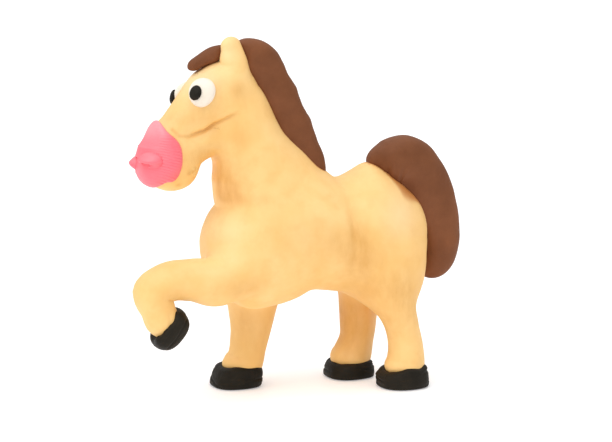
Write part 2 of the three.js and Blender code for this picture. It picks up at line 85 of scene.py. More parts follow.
# The pink muzzle, from the front of the jaw
MUZZLE = [
    (3, 7.5, 0, 0), (3.2, 6.1, 1.5, 3.9), (3.9, 3.1, 4.05, 5.5), (3.85, -0.4, 4.75, 5.9),
    (2.3, -3.2, 3.1, 4.7), (2.1, -5, 0, 0),
]
# The mane: share of the neck's length, out from its crest, up along it, and the two halves
MANE = [
    (0.96, -1.6, 4.4, 0, 0), (0.95, 0.4, 4.4, 2.05, 3), (0.88, 2.75, 1.9, 3, 3.6),
    (0.72, 2.85, 0.8, 2.9, 3.8), (0.52, 1.65, 0.4, 2.9, 3.8), (0.36, -0.5, 0.5, 2.5, 3.6),
    (0.26, -0.5, 1.2, 1.5, 3), (0.2, -0.6, 0.9, 0, 0),
]
# The tail, from its root on the croup
TAIL_ROOT = (15.6, 0, 44.4)
TAIL = [
    (1.3, -0.7, 0, 0), (2.1, 0.2, 2.2, 2.1), (4.4, 0.7, 4.1, 4.3), (7.6, 0.3, 5.8, 4.9),
    (11.3, -3, 6.1, 4.6), (14.2, -7.8, 5.6, 4.2), (15.95, -12.6, 4.5, 4.1), (16.1, -17.6, 3.8, 3.9),
    (14.9, -21.2, 3.1, 3.4), (12.9, -23.4, 0, 0),
]
# The legs: the hip, then x from the hip, y, z and the two halves; the raised leg's z is from the hip too
FORE_LEFT_HIP = (-8.05, -5, 29.6)
FORE_LEFT = [
    (-9.6, -7, -5.6, 4.6, 4.7), (-15.4, -7, -4.85, 4.1, 4.4), (-20, -7, -5.15, 4, 4.2),
    (-22.45, -7, -7.1, 4, 4.1), (-21.75, -7, -10.4, 3.4, 3.9), (-20.8, -7, -12.8, 3.4, 3.7),
    (-18.4, -7, -15.3, 0, 0),
]
FORE_RIGHT_HIP = (-5.45, 5, 29.6)
FORE_RIGHT = [
    (-0.7, 5.4, 20.2, 5.7, 5), (-1, 5.8, 15, 4.9, 4.6), (-1.25, 5.8, 12.1, 4.35, 4.2),
    (-1.85, 5.8, 8.5, 3.85, 3.9), (-2.65, 5.8, 5.2, 3.75, 3.9), (-3.45, 5.8, 3.7, 4.1, 4.1),
    (-4.2, 5.8, 1, 0, 0),
]
HIND_LEFT_HIP = (19.7, -4.5, 30.4)
HIND_LEFT = [
    (0.4, -5.2, 22.2, 5.5, 5.4), (0.7, -6.2, 15.7, 3.8, 4.8), (1.65, -6.2, 12.3, 3.4, 4.2),
    (2.4, -6.2, 8.7, 3.45, 3.9), (2.5, -6.2, 5.4, 3.8, 4), (2.3, -6.2, 3.8, 4.1, 4.1),
    (2.1, -6.2, 1, 0, 0),
]
HIND_RIGHT_HIP = (17.35, 4.8, 30.7)
HIND_RIGHT = [
    (-0.2, 5.2, 22.2, 5.4, 5.2), (-0.5, 6, 15.7, 4.15, 4.6), (-0.7, 6, 11.5, 3.7, 4.2),
    (-1.05, 6, 8, 3.4, 3.9), (-1.85, 6, 5, 3.95, 4), (-2.4, 6, 3.5, 4.2, 4.1), (-2.6, 6, 0.8, 0, 0),
]
SEAM_DEPTH = 1.2  # how steeply a piece dives under the one it is pressed into

# Where the model's middle lies in the maker's frame
torso_low, torso_high = (np.array(corner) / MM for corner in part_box("torso"))
CENTRE = np.array([torso_low[0] - TORSO[0][0], (torso_low[1] + torso_high[1]) / 2, 0.0])


def unit(vectors):
    """Each vector over its length."""
    return vectors / np.linalg.norm(vectors, axis=-1, keepdims=True)


def smooth_line(knots, values, s):
    """Values and slopes at s of a smooth line through values at knots. Each stretch is a cubic; the slope
    at a knot is the mean of the slopes on its two sides, weighted by the nearer one, and relaxed at the
    two ends. Beyond the ends the line goes on straight."""
    span = np.diff(knots)[:, None]
    rise = np.diff(values, axis=0) / span
    inner = (rise[:-1] * span[1:] + rise[1:] * span[:-1]) / (span[:-1] + span[1:])
    slope = np.concatenate([1.5 * rise[:1] - 0.5 * inner[:1], inner, 1.5 * rise[-1:] - 0.5 * inner[-1:]])
    i = np.clip(np.searchsorted(knots, s, side="right") - 1, 0, len(knots) - 2)
    h = span[i]
    t = np.clip((s - knots[i])[:, None] / h, 0, 1)
    a, b, ma, mb = values[i], values[i + 1], slope[i] * h, slope[i + 1] * h
    value = (2 * t**3 - 3 * t**2 + 1) * a + (t**3 - 2 * t**2 + t) * ma
    value = value + (3 * t**2 - 2 * t**3) * b + (t**3 - t**2) * mb
    change = ((6 * t**2 - 6 * t) * (a - b) + (3 * t**2 - 4 * t + 1) * ma + (3 * t**2 - 2 * t) * mb) / h
    before, beyond = np.minimum(s - knots[0], 0)[:, None], np.maximum(s - knots[-1], 0)[:, None]
    return value + before * slope[0] + beyond * slope[-1], change


class Roll:
    """A roll of clay: ovals carried along a smooth middle line. The squares of the half depth and half
    width run smoothly between the stations, which rounds a tip over as a thumb does."""

    samples = 160  # pieces of the middle line that distances are first looked up on
    least_square = 0.05  # keeps the ratio of the squares finite at a tip

    def __init__(self, stations):
        rows = np.array(stations, float)
        self.middles, self.squares = rows[:, :3], rows[:, 3:] ** 2
        self.knots = np.append(0, np.cumsum(np.linalg.norm(np.diff(self.middles, axis=0), axis=1)))
        self.length = self.knots[-1]
        self.stops = np.linspace(0, self.length, self.samples + 1)
        self.line = smooth_line(self.knots, self.middles, self.stops)[0]
        reach = rows[:, 3:].max()
        self.low, self.high = self.line.min(axis=0) - reach, self.line.max(axis=0) + reach

    def frame(self, s):
        """Middle, ahead, side and up directions, and squares of the half depth and half width, at lengths
        s."""
        middle, slope = smooth_line(self.knots, self.middles, s)
        ahead = unit(slope)
        side = unit(SIDEWAYS - ahead[:, 1:2] * ahead)
        return middle, ahead, side, np.cross(ahead, side), smooth_line(self.knots, self.squares, s)[0]

    def skin(self, along, turn, squareness=2.0, share=1.0):
        """Points at shares of the length and at turns from the up side: middle + up * depth * cos + side
        * width * sin, where cos and sin are raised to 2 / squareness, which flattens the sides of a
        squarer roll."""
        along, turn = np.atleast_1d(along).astype(float), np.atleast_1d(turn).astype(float)
        middle, _, side, up, squares = self.frame(along * self.length)
        deep, wide = share * np.sqrt(np.maximum(squares, 0)).T
        power = 2 / squareness
        across = np.sign(np.cos(turn)) * np.abs(np.cos(turn)) ** power
        sideways = np.sign(np.sin(turn)) * np.abs(np.sin(turn)) ** power
        return middle[:, None] + up[:, None] * np.multiply.outer(deep, across)[..., None] + (
            side[:, None] * np.multiply.outer(wide, sideways)[..., None]
        )

    def point(self, along, turn):
        """One point of the skin."""
        return self.skin(along, turn)[0, 0]

    def outward(self, along, turn, step=0.01):
        """The direction away from the skin at one point, from its slopes lengthwise and around."""
        lengthwise = self.point(along + step, turn) - self.point(along - step, turn)
        around = self.point(along, turn + step) - self.point(along, turn - step)
        return unit(np.cross(lengthwise, around))

    def distance(self, points):
        """Signed distance to the skin, near enough, and the direction away from it. With u and v the
        depth and width coordinates at the nearest point of the middle line, F = u^2 + v^2 k - q, where q
        is the squared half depth and k the ratio of the squares. Half of F's gradient is u * up + k v *
        side - q' / 2 * ahead, and with G its length the distance is F / (G + sqrt(G^2 - F))."""
        nearest = np.argmax(points @ self.line.T - 0.5 * (self.line**2).sum(axis=1), axis=1)
        s = self.stops[nearest]
        middle, slope = smooth_line(self.knots, self.middles, s)
        speed = np.linalg.norm(slope, axis=1)
        s = s + ((points - middle) * slope).sum(axis=1) / speed**2
        middle, ahead, side, up, squares = self.frame(s)
        offset = points - middle
        u, v = (offset * up).sum(axis=1), (offset * side).sum(axis=1)
        step = 0.05
        slopes = (smooth_line(self.knots, self.squares, s + step)[0] - squares) / step
        deep, wide = np.maximum(squares, self.least_square).T
        ratio = deep / wide
        value = u**2 + ratio * v**2 - squares[:, 0]
        climb = u[:, None] * up + (ratio * v)[:, None] * side - (slopes[:, :1] / 2) * ahead
        steepness = np.linalg.norm(climb, axis=1) + 1e-6
        distance = value / (steepness + np.sqrt(np.maximum(steepness**2 - value, 0)))
        return distance, climb / steepness[:, None]


def in_plane(stations, root=(0, 0, 0)):
    """Stations given as x, z, depth, width, from a root point, as x, y, z, depth, width."""
    return [(root[0] + x, root[1], root[2] + z, deep, wide) for x, z, deep, wide in stations]


def leg(hip, stations, level=0.0):
    """A leg's roll from its hip. Its stations' x counts from the hip and their z from a level."""
    rows = [(hip[0] + x, y, level + z, deep, wide) for x, y, z, deep, wide in stations]
    return Roll([(*hip, 0, 0), *rows])


def mane_stations():
    """The mane's stations: out from the neck's crest along -up, and along the neck by ahead."""
    stations = []
    for along, out, upward, deep, wide in MANE:
        _, ahead, _, up, _ = (part[0] for part in neck.frame(np.array([along * neck.length])))
        stations.append((*(neck.point(along, np.pi) - out * up + upward * ahead), deep, wide))
    return stations


torso = Roll(in_plane(TORSO))
neck = Roll(in_plane(NECK, NECK_ROOT))
poll = neck.middles[-1]
cranium = Roll(in_plane(CRANIUM, poll))
jaw = Roll(in_plane(JAW, poll))
ear_left = Roll(in_plane(EAR, poll + EAR_LEFT_AT))
ear_right = Roll(in_plane(EAR, poll + EAR_RIGHT_AT))
forelock = Roll(in_plane(FORELOCK, poll))
muzzle = Roll(in_plane(MUZZLE, jaw.middles[-1]))
mane = Roll(mane_stations())
tail = Roll(in_plane(TAIL, TAIL_ROOT))
foreleg_left = leg(FORE_LEFT_HIP, FORE_LEFT, FORE_LEFT_HIP[2])
foreleg_right = leg(FORE_RIGHT_HIP, FORE_RIGHT)
hind_leg_left = leg(HIND_LEFT_HIP, HIND_LEFT)
hind_leg_right = leg(HIND_RIGHT_HIP, HIND_RIGHT)

# The yellow rolls in the order they are pressed on: how far the clay is smoothed over the joint, the x, z
# and radius of a place where it is left as a sharp crease, and the height above which it is left alone
NOWHERE = (0, 200, 1)
ANY_HEIGHT = 90
YELLOW = {
    "torso": (torso, 0.01, NOWHERE, ANY_HEIGHT),
    "neck": (neck, 6.8, (-16.6, 37, 7), ANY_HEIGHT),
    "jaw": (jaw, 4, (-18.4, 46.8, 3.5), ANY_HEIGHT),
    "cranium": (cranium, 2.6, (-19.5, 53.8, 4.5), ANY_HEIGHT),
    "ear_left": (ear_left, 2.4, (-15.4, 66.9, 3.5), ANY_HEIGHT),
    "ear_right": (ear_right, 2.4, (-13.8, 66, 3.5), ANY_HEIGHT),
    "foreleg_left": (foreleg_left, 3.5, NOWHERE, 33),
    "foreleg_right": (foreleg_right, 1.5, NOWHERE, 28),
    "hind_leg_left": (hind_leg_left, 6, NOWHERE, 32),
    "hind_leg_right": (hind_leg_right, 1.5, NOWHERE, 30),
}
SHARP = 0.35  # how far a joint is smoothed over where it is left sharp
FAR = 8.0  # beyond this distance a roll isn't looked at


class Waves:
    """Unevenness of hand work: the sum of sine waves in random directions, with unit spread."""

    def __init__(self, seed, shortest, longest, count=24):
        rng = np.random.default_rng(seed)
        directions = unit(rng.normal(size=(count, 3)))
        self.waves = directions * (2 * np.pi / rng.uniform(shortest, longest, (count, 1)))
        self.phases = rng.uniform(0, 2 * np.pi, count)

    def __call__(self, points):
        flat = points.reshape(-1, 3)
        total = np.sin(flat @ self.waves.T + self.phases).sum(axis=1) * np.sqrt(2 / len(self.phases))
        return total.reshape(points.shape[:-1])


broad = Waves(3, 9, 22)
fine = Waves(5, 2.5, 6)
# The unevenness of the clay: depth and squeeze of the broad waves, then of the fine ones
UNEVEN = {
    "yellow": (0.09, 1.0, 0.018, 1.0),
    "mane": (0.07, 1.7, 0.03, 0.8),
    "tail": (0.1, 1.3, 0.03, 0.8),
    "forelock": (0.06, 2.2, 0.03, 1.0),
    "muzzle": (0.06, 2.4, 0.03, 0.9),
}


def unevenness(points, piece):
    """Broad and fine waves at each point, each with its depth, and squeezed together by a factor."""
    depth, squeeze, fine_depth, fine_squeeze = UNEVEN[piece]
    return depth * broad(points * squeeze) + fine_depth * fine(points * fine_squeeze)


def thumb_dents(seed, count, deepest, widths):
    """Middles, widths and depths of dents pressed at random places on the yellow rolls."""
    rng = np.random.default_rng(seed)
    rolls = [roll for roll, *_ in YELLOW.values()]
    weights = np.array([roll.length * np.sqrt(roll.squares.max()) for roll in rolls])
    picks = rng.choice(len(rolls), size=count, p=weights / weights.sum())
    middles = [rolls[i].point(rng.uniform(0.08, 0.92), rng.uniform(0, 2 * np.pi)) for i in picks]
    return np.array(middles), rng.uniform(*widths, count), rng.uniform(-0.5, 1, count) * deepest


DENTS = thumb_dents(11, 150, 0.16, (1.4, 3.6))


def smooth_step(low, high, values):
    """From 0 at low to 1 at high, as 3 t^2 - 2 t^3. With high below low it falls."""
    t = np.clip((values - low) / (high - low), 0, 1)
    return t * t * (3 - 2 * t)


def patch(points, x, z, half_wide, half_high):
    """1 at a place on the side of the horse, and exp(-(dx / half_wide)^2 - (dz / half_high)^2) around
    it."""
    squares = ((points[..., 0] - x) / half_wide) ** 2 + ((points[..., 2] - z) / half_high) ** 2
    return np.exp(-squares)


def along_line(flat, line):
    """Distance of flat points from a line of points, their side of it from -1 to 1, and the share of its
    length."""
    line = np.array(line, float)
    start, run = line[:-1], np.diff(line, axis=0)
    lengths = np.linalg.norm(run, axis=1)
    offset = flat[:, None] - start
    t = np.clip((offset * run).sum(axis=-1) / lengths**2, 0, 1)
    apart = offset - t[..., None] * run
    distance = np.linalg.norm(apart, axis=-1)
    best = distance.argmin(axis=1)
    rows = np.arange(len(flat))
    cross = run[best, 0] * apart[rows, best, 1] - run[best, 1] * apart[rows, best, 0]
    share = (np.append(0, np.cumsum(lengths))[best] + t[rows, best] * lengths[best]) / lengths.sum()
    return distance[rows, best], np.tanh(cross / lengths[best] / 0.2), share


# The crease where the head is pressed over the jaw and the neck, x and z, on both sides of the head. Its
# cut has a depth and a half width, and the lip above it a height and a half width. They and the darker
# colour along it set in between two distances from the horse's middle plane.
CHEEK_CREASE = [
    (-25.8, 53.7), (-24.6, 52.5), (-22.6, 52.3), (-20.9, 52.8), (-19.2, 53.4), (-17.5, 54.6),
    (-15.2, 55.7), (-12.6, 56.9),
]
CREASE_CUT = (0.36, 0.34)
CREASE_LIP = (0.1, 1.3)
CREASE_DARK_WIDTH = 0.3
CHEEK = (1.5, 3.5)
HEAD_BOTTOM = 44
# Shallow strokes of a tool: hand (-1 near side, 1 far side), x and z of the line, depth and half width
STROKES = [
    (-1, [(9.2, 38.5), (9.5, 33), (9.9, 28)], 0.12, 0.7),
    (-1, [(11, 36), (11.6, 31), (12, 26)], 0.08, 0.8),
    (-1, [(-18.2, 36), (-17.4, 33.5), (-17.8, 31)], 0.14, 0.4),
    (1, [(-11.9, 15.5), (-11, 11), (-11.2, 8), (-12.2, 5.5)], 0.22, 0.5),
    (-1, [(-28.6, 18.6), (-28.4, 16)], 0.15, 0.35),
    (-1, [(18.5, 17), (19.6, 14), (20, 10)], 0.1, 0.5),
]
# The clay is drawn up where the tail is pressed on: its x and y, the height above which it counts, how
# high it is drawn, and the half sizes along and across
CROUP_PEAK = (16.4, 0, 36)
CROUP_RISE = 1.0
CROUP_HALF = (2.3, 4.5)
# Crumbs of clay left under the near side of the jaw: x, z, radius and height
CRUMBS = [
    (-22.3, 45.2, 0.4, 0.32), (-21.5, 45.9, 0.28, 0.28), (-21.1, 44.8, 0.36, 0.3),
    (-20.5, 45.7, 0.22, 0.2),
]


def pressed(points):
    """How far the clay is pressed in at each point: unevenness, thumb dents, the cheek crease and tool
    strokes, less the crumbs and the croup's peak, which stand out."""
    depth = unevenness(points, "yellow")
    middles, widths, depths = DENTS
    squares = ((points[:, None] - middles) ** 2).sum(axis=-1)
    depth += (depths * np.exp(-squares / widths**2)).sum(axis=1)
    flat, side = points[:, [0, 2]], points[:, 1]
    distance, above, share = along_line(flat, CHEEK_CREASE)
    outside = smooth_step(*CHEEK, np.abs(side)) * (flat[:, 1] > HEAD_BOTTOM)
    strength = 0.5 + 0.5 * smooth_step(0.25, 0.6, share) - 0.5 * smooth_step(0.85, 1, share)
    depth += outside * strength * CREASE_CUT[0] * np.exp(-((distance / CREASE_CUT[1]) ** 2))
    depth -= outside * strength * CREASE_LIP[0] * np.exp(-((distance / CREASE_LIP[1]) ** 2)) * above
    for hand, line, deep, width in STROKES:
        distance, _, _ = along_line(flat, line)
        depth += deep * np.exp(-((distance / width) ** 2)) * smooth_step(1, 3, hand * side)
    x, y, z = CROUP_PEAK
    squares = ((points[:, 0] - x) / CROUP_HALF[0]) ** 2 + ((side - y) / CROUP_HALF[1]) ** 2
    depth -= CROUP_RISE * np.exp(-squares) * (points[:, 2] > z)
    for x, z, radius, height in CRUMBS:
        squares = (flat[:, 0] - x) ** 2 + (flat[:, 1] - z) ** 2
        depth -= height * np.exp(-((squares / radius**2) ** 2)) * smooth_step(-1, -2.5, side)
    return depth


def smoothing(points, blend, crease, top):
    """How far a joint is smoothed over at each point: its blend, falling to almost none at its crease and
    above its top."""
    apart = np.hypot(points[:, 0] - crease[0], points[:, 2] - crease[1])
    share = smooth_step(0.25 * crease[2], crease[2], apart) * smooth_step(top + 3, top - 3, points[:, 2])
    return np.minimum(blend, SHARP + (blend - SHARP) * share)


def pressed_together(points, own):
    """The distance to the skin of all the yellow rolls as one, its gradient, and by how much the nearest
    other roll covers the one with this name. The distances join one by one: with w = 1/2 - gap / (2
    blend), kept in 0 to 1, the joint one moves by w * gap - blend * w * (1 - w)."""
    total, gradient = np.full(len(points), FAR), np.zeros((len(points), 3))
    mine, others = np.full(len(points), FAR), np.full(len(points), FAR)
    for name, (roll, *joint) in YELLOW.items():
        near = np.flatnonzero(((points > roll.low - FAR) & (points < roll.high + FAR)).all(axis=1))
        if len(near) == 0:
            continue
        distance, direction = roll.distance(points[near])
        blend = smoothing(points[near], *joint)
        gap = distance - total[near]
        w = np.clip(0.5 - gap / (2 * blend), 0, 1)
        total[near] += w * gap - blend * w * (1 - w)
        gradient[near] += w[:, None] * (direction - gradient[near])
        if name == own:
            mine[near] = distance
        else:
            others[near] = np.minimum(others[near], distance)
    return total, gradient, np.maximum(mine - others, 0)


def press_together(points, name, rounds=7):
    """Moves the points of one yellow roll's skin onto the smoothed skin of them all. Where another roll
    covers it by x, the skin dives x^2 / (x + SEAM_DEPTH) below, so the two meet in one line. Each round
    steps along the gradient by what is left of the distance. Skin that lies deep inside the others stays
    where it is."""
    start, free = points, None
    for _ in range(rounds):
        level, gradient, covered = pressed_together(points, name)
        free = smooth_step(2.5, 1.2, covered)[:, None] if free is None else free
        left = level + pressed(points) + covered**2 / (covered + SEAM_DEPTH)
        steep = np.maximum((gradient**2).sum(axis=1), 0.3)
        points = points - (np.clip(left, -1, 1) / steep)[:, None] * gradient
    return start + free * (points - start), unit(gradient + 1e-9)


def ring_shares(rings):
    """Shares of a roll's length for its rings, closer together towards the tips: (1 - cos) / 2."""
    return (1 - np.cos(np.pi * np.arange(1, rings) / rings)) / 2


def turns(sides):
    """Even turns round a roll, in radians."""
    return 2 * np.pi * np.arange(sides) / sides


def normals_of(rings):
    """Outward normals of a grid of rings: its lengthwise slope crossed with its slope around."""
    around = np.roll(rings, -1, axis=1) - np.roll(rings, 1, axis=1)
    return unit(np.cross(np.gradient(rings, axis=0), around) + 1e-12)


def closed_mesh(name, rings, start, end):
    """A closed mesh from a grid of rings with a point at each end, in metres in the model's frame."""
    count, sides = rings.shape[:2]
    points = (np.concatenate([rings.reshape(-1, 3), [start, end]]) + CENTRE) * MM
    i, j = np.meshgrid(np.arange(count - 1), np.arange(sides), indexing="ij")
    a, b = i * sides + j, i * sides + (j + 1) % sides
    quads = np.stack([a, a + sides, b + sides, b], axis=-1).reshape(-1, 4)
    j = np.arange(sides)
    following = (j + 1) % sides
    last = (count - 1) * sides
    first_cap = np.stack([np.full(sides, count * sides), j, following], axis=-1)
    last_cap = np.stack([np.full(sides, count * sides + 1), last + following, last + j], axis=-1)
    mesh = bpy.data.meshes.new(name)
    mesh.from_pydata(points.tolist(), [], quads.tolist() + first_cap.tolist() + last_cap.tolist())
    mesh.polygons.foreach_set("use_smooth", np.ones(len(mesh.polygons), bool))
    mesh.update()
    return mesh


def add_piece(name, mesh, slot):
    """Hangs a finished mesh on the body in place of its solid, with the material of its slot."""
    mesh.materials.append(MATERIALS[slot])
    piece = bpy.data.objects.new(name + "_clay", mesh)
    bpy.context.scene.collection.objects.link(piece)
    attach(piece, "root")
    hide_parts(name)


# Ochre patches: stains of dirty fingers, and painted shade on the neck's front under the jaw and on the
# far legs: hand (-1 near side, 1 far side), x, z, half width, half height, strength
STAIN_AND_SHADE_PATCHES = [
    (-1, 9.4, 33, 1.3, 5.5, 0.8), (-1, 11.6, 30, 1.5, 5, 0.6), (-1, 12, 27, 4.5, 3.5, 0.6),
    (-1, 6.5, 30.5, 4, 3.5, 0.5), (-1, -15.5, 40.2, 3, 1.9, 0.9), (-1, -18.5, 39.8, 1.8, 1.4, 0.7),
    (-1, -9.5, 40, 3, 1.2, 0.4), (-1, -17.3, 44.2, 2, 6, 0.75), (-1, -14.8, 43.5, 3.4, 4, 0.75),
    (-1, -14, 22.7, 5.5, 2.3, 0.5), (-1, 14, 21.5, 6, 3.5, 0.55), (-1, -20, 57, 3.5, 3, 0.55),
    (-1, -25.4, 55.6, 2.4, 2, 0.55), (-1, -17.2, 62, 1.8, 1.8, 0.5), (-1, -12.8, 61, 1.7, 2, 0.6),
    (-1, -12.7, 51.7, 2, 2.4, 0.45), (-1, -22.6, 45.3, 0.5, 0.5, 0.9), (-1, -24.4, 42.8, 0.6, 0.4, 0.7),
    (-1, -20.5, 48.5, 3, 2.5, 0.5), (-1, 20, 18, 3.5, 6, 0.75), (-1, -28, 22.5, 2.5, 1.6, 0.35),
    (-1, -3, 33, 5, 3, 0.2), (1, 14.5, 12, 4, 7, 1.2), (1, -7, 13, 3.5, 7, 0.8), (1, 4, 33, 5, 4, 0.4),
    (1, 16, 27, 4, 4, 0.35),
]


def stains_and_shade(points):
    """How much ochre the yellow clay takes, from 0 to 1: finger stains and painted shade, each patch on
    its own side of the horse, and a darker line along the cheek crease."""
    total = np.zeros(len(points))
    for hand, x, z, half_wide, half_high, strength in STAIN_AND_SHADE_PATCHES:
        spot = strength * patch(points, x, z, half_wide, half_high)
        total += spot * smooth_step(0, 3, hand * points[:, 1])
    distance, _, share = along_line(points[:, [0, 2]], CHEEK_CREASE)
    strength = (0.4 + 0.45 * smooth_step(0.3, 0.6, share)) * smooth_step(1, 0.85, share)
    crease = strength * np.exp(-((distance / CREASE_DARK_WIDTH) ** 2))
    return np.clip(total + crease * smooth_step(*CHEEK, np.abs(points[:, 1])), 0, 1)


# How far the painted shade round each brown roll reaches, and beside the tail's root, where the tail's
# painted shadow falls on the croup, by how much more: the x, z, half width and half height of that place
MANE_REACH = 0.3
FORELOCK_REACH = 0.4
TAIL_REACH = 0.4
TAIL_SHADOW_PATCH = (22.3, 39.6, 3.2, 3.8)
TAIL_SHADOW_REACH = 3.5


def painted_contact_shades(points):
    """Painted shade on the yellow clay where a brown roll is pressed on: exp(-(distance / reach)^4), with
    a longer reach beside the tail's root for the tail's painted shadow."""
    total = np.zeros(len(points))
    tail_reach = TAIL_REACH + TAIL_SHADOW_REACH * patch(points, *TAIL_SHADOW_PATCH)
    for roll, reach in ((mane, MANE_REACH), (forelock, FORELOCK_REACH), (tail, tail_reach)):
        near = ((points > roll.low - 3) & (points < roll.high + 3)).all(axis=1)
        distance = np.full(len(points), FAR)
        distance[near] = roll.distance(points[near])[0]
        total = np.maximum(total, np.exp(-((np.maximum(distance, 0) / reach) ** 4)))
    return total


def mark(mesh, name, values):
    """Stores a value at each vertex, for its material to read."""
    layer = mesh.attributes.new(name, "FLOAT", "POINT")
    layer.data.foreach_set("value", values.astype(np.float32))


# Painted highlights, pale colour where the light falls brightest: x, z, half width, half height, strength
PAINTED_HIGHLIGHTS = [
    (-21, 63.5, 4.5, 3.5, 0.42), (19.5, 35.5, 4.5, 4.5, 0.32), (-16.5, 33.5, 4, 4, 0.14),
    (-14.2, 68.5, 2, 3, 0.22), (-4, 33, 9, 6, 0.06), (-30.5, 55.4, 2.5, 3, 0.85),
]
# A painted highlight on every face that looks up, stronger the more it faces the sky
PAINTED_TOP_LIGHT = 0.1


def painted_highlight(points, upward):
    """The painted highlight at each point: its patches, and a little wherever the clay faces up to the
    light.
    """
    total = PAINTED_TOP_LIGHT * smooth_step(-0.2, 1.0, upward)
    for x, z, half_wide, half_high, strength in PAINTED_HIGHLIGHTS:
        total = total + strength * patch(points, x, z, half_wide, half_high)
    return total


def yellow_roll(name, rings, sides, core=1.0):
    """One yellow roll, from a grid on its skin, or on a thinner core where it bends sharply."""
    roll = YELLOW[name][0]
    grid = roll.skin(ring_shares(rings), turns(sides), share=core)
    ends = roll.middles[[0, -1]]
    points, outward = press_together(np.concatenate([grid.reshape(-1, 3), ends]), name)
    mesh = closed_mesh(name, points[:-2].reshape(grid.shape), points[-2], points[-1])
    # Ochre: finger stains, with painted shade under the jaw and on the far legs
    mark(mesh, "stain_and_shade", stains_and_shade(points))
    # Painted shade round the brown rolls, and the tail's painted shadow on the croup
    mark(mesh, "painted_contact_shade", painted_contact_shades(points))
    # Painted highlight, stored for the material
    mark(mesh, "painted_highlight", painted_highlight(points, outward[:, 2]))
    add_piece(name, mesh, "clay_yellow")


def plain_roll(name, roll, rings, sides, squareness, relief, slot, sink=0.0):
    """A roll that keeps its own skin, moved out along its normals by relief(points, along, turn). Its
    inner side is sunk by a depth into the clay it lies on: each point moves along -up by sink * sqrt(q /
    largest q), where q is the squared half depth, times how far round towards -up it lies."""
    along, turn = ring_shares(rings), turns(sides)
    grid = roll.skin(along, turn, squareness)
    # The painted highlight at each point, stored for the material
    painted_shine = painted_highlight(grid, normals_of(grid)[..., 2])
    grid = grid + normals_of(grid) * relief(grid, along[:, None], turn[None])[..., None]
    _, _, _, up, squares = roll.frame(along * roll.length)
    share = np.sqrt(np.maximum(squares[:, 0], 0) / roll.squares[:, 0].max())
    inward = smooth_step(0.1, -0.8, np.cos(turn))
    grid = grid - sink * (share[:, None] * inward)[..., None] * up[:, None]
    mesh = closed_mesh(name, grid, roll.middles[0], roll.middles[-1])
    mark(mesh, "painted_highlight", np.append(painted_shine, [0, 0]))
    add_piece(name, mesh, slot)


def bump_at(along, turn, place, angle, length, width, height):
    """A smooth swelling at a share of the length and a turn, with half sizes in shares and radians."""
    apart = np.angle(np.exp(1j * (turn - angle)))
    return height * np.exp(-(((along - place) / length) ** 2) - (apart / width) ** 2)


# Steps and waves along the mane's outer edge: share of the length and height
MANE_WAVES = [
    (0.2, 0.2), (0.33, -0.3), (0.42, 0.25), (0.53, -0.16), (0.63, 0.24), (0.78, -0.1), (0.88, 0.2),
]
# Dents on its near face: share of the length, turn and height
MANE_DENTS = [(0.3, -1.7, -0.15), (0.55, -1.5, -0.12), (0.75, -1.8, -0.14)]


def mane_relief(points, along, turn):
    """Hand-rolled unevenness, with the waves along the outer edge and the dents."""
    relief = unevenness(points, "mane")
    for place, height in MANE_WAVES:
        relief = relief + bump_at(along, turn, place, 0, 0.035, 1.0, height)
    for place, angle, height in MANE_DENTS:
        relief = relief + bump_at(along, turn, place, angle, 0.06, 0.4, height)
    return relief


def tail_relief(points, along, turn):
    """Broad unevenness, the ragged edge where the root is pressed over the croup, and a hollow on each
    side of its inner face, where the tail lifts off the rump."""
    relief = unevenness(points, "tail")
    root = smooth_step(0.3, 0.1, along) * smooth_step(0.2, -0.5, np.cos(turn))
    relief = relief + root * (0.2 * np.sin(60 * along) + 0.12 * np.sin(127 * along + 1))
    for angle in (-2.1, 2.1):
        relief = relief + bump_at(along, turn, 0.31, angle, 0.09, 0.5, -0.9)
    return relief


def forelock_relief(points, along, turn):
    """Unevenness alone."""
    return unevenness(points, "forelock")


# Fingerprint ridges: from one to the next, and how far they stand out and sink in
RIDGE_SPACING = 0.48
RIDGE_HEIGHT = 0.065
RIDGE_MIDDLE = (-27.5, 40)  # x and z that they bend round
MUZZLE_RIM = 0.3  # how far the cap's rim stands above the yellow clay


def muzzle_relief(points, along, turn):
    """Fingerprint ridges across the near cheek of the muzzle, and fainter ones at its front: sine waves
    of the distance from the middle they bend round. The cap's rim stands above the yellow clay, rounded
    over its last half millimetre, and the ridges fade out at it."""
    proud = pressed_together(points.reshape(-1, 3), "torso")[0].reshape(points.shape[:-1])
    rim = MUZZLE_RIM * smooth_step(-0.25, 0.25, proud)
    x, y, z = np.moveaxis(points, -1, 0)
    whorl = np.hypot(z - RIDGE_MIDDLE[1], (x - RIDGE_MIDDLE[0]) * 0.55 + 3.0)
    ridges = np.sin(2 * np.pi * whorl / RIDGE_SPACING)
    cheek = smooth_step(-29.2, -27.6, x) * smooth_step(-2, -3.6, y) * smooth_step(54, 51, z)
    front = 0.25 * smooth_step(-1, -3, y)
    fade = np.maximum(cheek, front) * smooth_step(0.05, 0.4, proud)
    return unevenness(points, "muzzle") + rim + RIDGE_HEIGHT * ridges * fade


